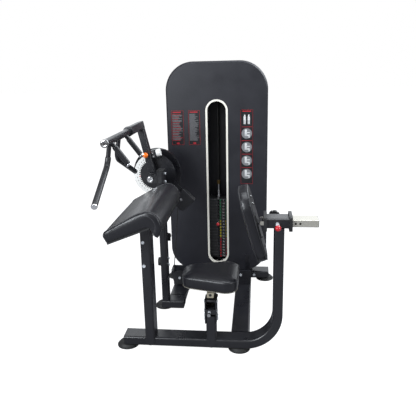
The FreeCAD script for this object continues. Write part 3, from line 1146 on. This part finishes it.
def adjusterKnobs():
    start = "beamFrontY - pullBarrelLong"
    barrel = rod("pullBarrel", "pullBarrelLong", ("slideFirstX", start, HOLDER_MIDDLE), "Y")
    bore = rod("pinRadius + bearingGap", "pullBarrelLong", ("slideFirstX", start, HOLDER_MIDDLE), "Y")
    fasteners.append(cut(barrel, [bore]))
    tip = ("slideFirstX", "beamFrontY - pullReach", HOLDER_MIDDLE)
    pin = rod("pinRadius", "holderWall + pullReach", tip, "Y")
    knob = cut(ball("pullKnob", shift(tip, "Y", "-pullKnob / 2")), [rod("pinRadius", "pullKnob * 2", tip, "Y")])
    keep(together([pin, knob]), "pull_pin")
    rear = "beamFrontY + tubeWide"
    near = rear + " + starReach - starThick"
    disc = rod("starRadius", "starThick", ("starX", near, HOLDER_MIDDLE), "Y")
    notches = []
    for n in range(int(size("starCount"))):
        reach = "(starRadius + starNotch / 2) * %s(360 / starCount * %d)"
        notches.append(rod("starNotch", "starThick", ("starX + " + reach % ("cos", n), near,
                                                     HOLDER_MIDDLE + " + " + reach % ("sin", n)), "Y"))
    stem = rod("starStem", "holderWall + starReach - starThick",
               ("starX", rear + " - holderWall", HOLDER_MIDDLE), "Y")
    keep(fuse([cut(disc, notches), stem]), "clamp_knob")


def pulleys():
    across, low = "sheaveRadius", "cableLowZ + sheaveRadius"
    keep(sheave(("baseSheaveX", "cableFrontY", low), "Y"), "base_pulley")
    keep(sheave(("-sheaveRadius", "cableFrontY + sheaveRadius", "cableLowZ"), "Z"), "floor_pulley")
    keep(sheave(("0", "stackY + sheaveRadius", low), "X"), "rear_pulley")
    keep(sheave(("0", "stackY + sheaveRadius", "topSheaveZ"), "X"), "top_pulley")


def cable():
    r, low, front = size("sheaveRadius"), size("cableLowZ"), size("cableFrontY")
    wheel = V(size("axleX"), front, size("axleZ"))
    base = V(size("baseSheaveX"), front, low + r)
    between = base - wheel
    span = between.Length
    lean = math.acos((size("grooveCircle") + r) / span)
    along = between.normalize()
    sideways = V(-along.z, 0, along.x)
    normal = along * math.cos(lean) + sideways * math.sin(lean)
    leave, meet = wheel + normal * size("grooveCircle"), base - normal * r
    under = base + V(0, 0, -r)
    halfWay = base + (V(0, 0, -1) - normal).normalize() * r
    corner = V(-r, front + r, low)
    deep, top = size("stackY") + r, size("topSheaveZ")
    small = r * math.sqrt(0.5)
    edges = [
        Part.LineSegment(leave, meet).toShape(),
        Part.Arc(meet, halfWay, under).toShape(),
        Part.LineSegment(under, V(-r, front, low)).toShape(),
        Part.Arc(V(-r, front, low), corner + V(small, -small, 0), V(0, front + r, low)).toShape(),
        Part.LineSegment(V(0, front + r, low), V(0, deep, low)).toShape(),
        Part.Arc(V(0, deep, low), V(0, deep + small, low + r - small), V(0, deep + r, low + r)).toShape(),
        Part.LineSegment(V(0, deep + r, low + r), V(0, deep + r, top)).toShape(),
        Part.Arc(V(0, deep + r, top), V(0, deep + small, top + small), V(0, deep, top + r)).toShape(),
        Part.Arc(V(0, deep, top + r), V(0, deep - small, top + small), V(0, deep - r, top)).toShape(),
    ]
    keep(formed(swept(Part.Wire(edges), size("cableRadius"))), "drive_cable")
    ferruleTop = "stackLowZ + plateCount * plateThick + liftGap + 3 * clampHigh + clampScrewHigh"
    keep(rod("cableRadius", "topSheaveZ - (%s)" % ferruleTop, ("0", "stackY", ferruleTop)), "cable_drop")


# Bolt heads with a socket, standing out from the faces they clamp
def boltHead(x, y, z, along, outward):
    point = [x, y, z]
    low = point if outward > 0 else shift(point, along, "-boltHeadHigh")
    mouth = shift(point, along, "boltHeadHigh - boltSocketDeep" if outward > 0 else "-boltHeadHigh")
    return cut(rod("boltHead", "boltHeadHigh", low, along), [rod("boltSocket", "boltSocketDeep", mouth, along)])


def bolts():
    heads = [
        boltHead("rightTubeX + tubeWide / 2 - flangeBoltHalf", "jointY - flangeThick", "flangeBoltZ", "Y", -1),
        boltHead("rightTubeX + tubeWide + beamBoltOut", "crossY", "footHigh + tubeHigh / 2", "Y", -1),
        boltHead("armPostX + armBoltIn", "postY", "armBoltHigh", "Y", -1),
        boltHead("armPostX + armBoltIn", "postY", "armBoltLow", "Y", -1),
    ]
    for z in ("cheekBoltLow", "cheekBoltHigh"):
        heads.append(boltHead("seatPostX + postWide + cheekPlate", "postY + cheekDeep / 2", z, "X", 1))
        heads.append(boltHead("seatPostX - cheekPlate", "postY + cheekDeep / 2", z, "X", -1))
    for z in ("axleZ - housingBolt", "axleZ + housingBolt", "padStopZ + padBolt", "padStopZ - padBolt * 2"):
        heads.append(boltHead("camPostX + camPostWide", "camPostY + camPostDeep * 3 / 4", z, "X", 1))
    keep(together(heads + fasteners), "frame_bolts")


for build in (frontBaseFrame, baseTubes, rearBaseFrame, rubberFeet, tubeCaps, armPadPost, seatPost, leverPost,
              towerFrame, tower, weightStack, camWheel, axle, dialPlate, counterweight, swingArm, armPad, seat,
              seatCarriage, seatLinks, seatLock, backSleeve, backBar, backPad, adjusterKnobs, pulleys,
              cable, bolts):
    build()
handle("front", FRONT_SLEEVE, "gripFrontIn", "longFrontIn", -1)
handle("rear", REAR_SLEEVE, "gripRearIn", "longRearIn", 1)
doc.recompute()

for item in doc.Objects:
    if "Invalid" in item.State or "Error" in item.State:
        raise RuntimeError("%s can't be built: %s" % (item.Label, item.getStatusString()))
os.makedirs("parts", exist_ok=True)
for item in finished:
    shape = item.Shape.copy()
    if shape.isNull() or not shape.isValid():
        raise RuntimeError("%s has no valid shape" % item.Label)
    shape.translate(V(-size("datumX"), -size("datumY"), 0))
    shape.exportStep("parts/%s.step" % item.Label)
    print(item.Label, [round(v) for v in (shape.BoundBox.XMin, shape.BoundBox.XMax, shape.BoundBox.YMin,
                                          shape.BoundBox.YMax, shape.BoundBox.ZMin, shape.BoundBox.ZMax)])
